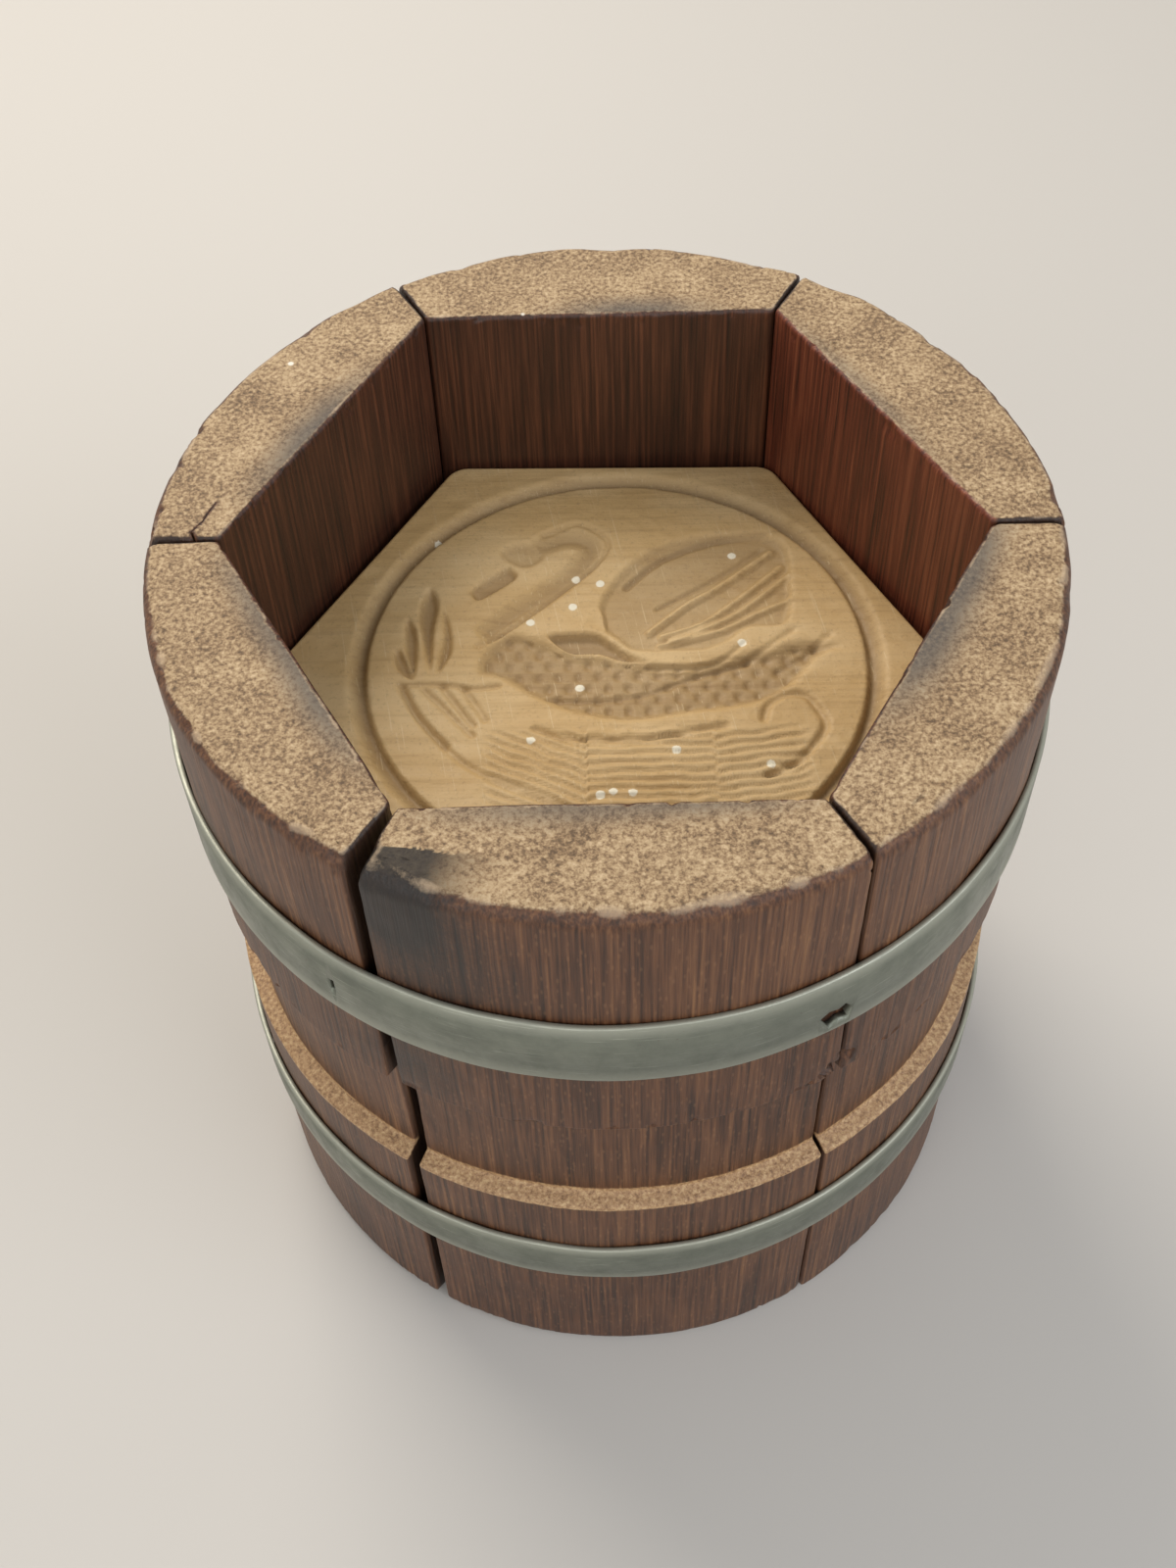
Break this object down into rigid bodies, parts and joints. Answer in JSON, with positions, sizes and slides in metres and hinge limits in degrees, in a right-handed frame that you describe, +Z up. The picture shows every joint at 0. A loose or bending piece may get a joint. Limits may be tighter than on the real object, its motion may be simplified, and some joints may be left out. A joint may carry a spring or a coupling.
{
  "type": "butter mould",
  "caption": "Coopered wooden butter mould with a hexagonal hollow, sheet-iron hoops and a loose carved stamp that is pushed up on a turned handle.",
  "frame": {"origin": "centre of the base, on the surface that the mould stands on", "axes": "+Z up along the mould's axis, out of its open top; -Y to the front, where the joint between two staves has opened on the left"},
  "size_m": [0.138, 0.138, 0.145],
  "materials": {
    "stave_wood": "worn and stained",
    "hoop_iron": "dull tinned sheet iron",
    "rivet_iron": "dull",
    "stamp_wood": "bare, carved",
    "handle_wood": "bare, turned"
  },
  "bodies": {
    "mould_body": {"stave_front": "stave_wood", "stave_front_right": "stave_wood", "stave_back_right": "stave_wood", "stave_back": "stave_wood", "stave_back_left": "stave_wood", "stave_front_left": "stave_wood", "hoop_upper": "hoop_iron", "hoop_lower": "hoop_iron", "hoop_upper_rivets": "rivet_iron", "hoop_lower_rivets": "rivet_iron", "hoop_upper_tacks": "rivet_iron", "hoop_lower_tacks": "rivet_iron"},
    "stamp": {"stamp_plate": "stamp_wood", "stamp_handle": "handle_wood"}
  },
  "joints": [
    {"name": "stamp_push", "type": "slide", "parent": "mould_body", "child": "stamp", "axis": [0, 0, 1], "range_m": [0, 0.14]}
  ]
}
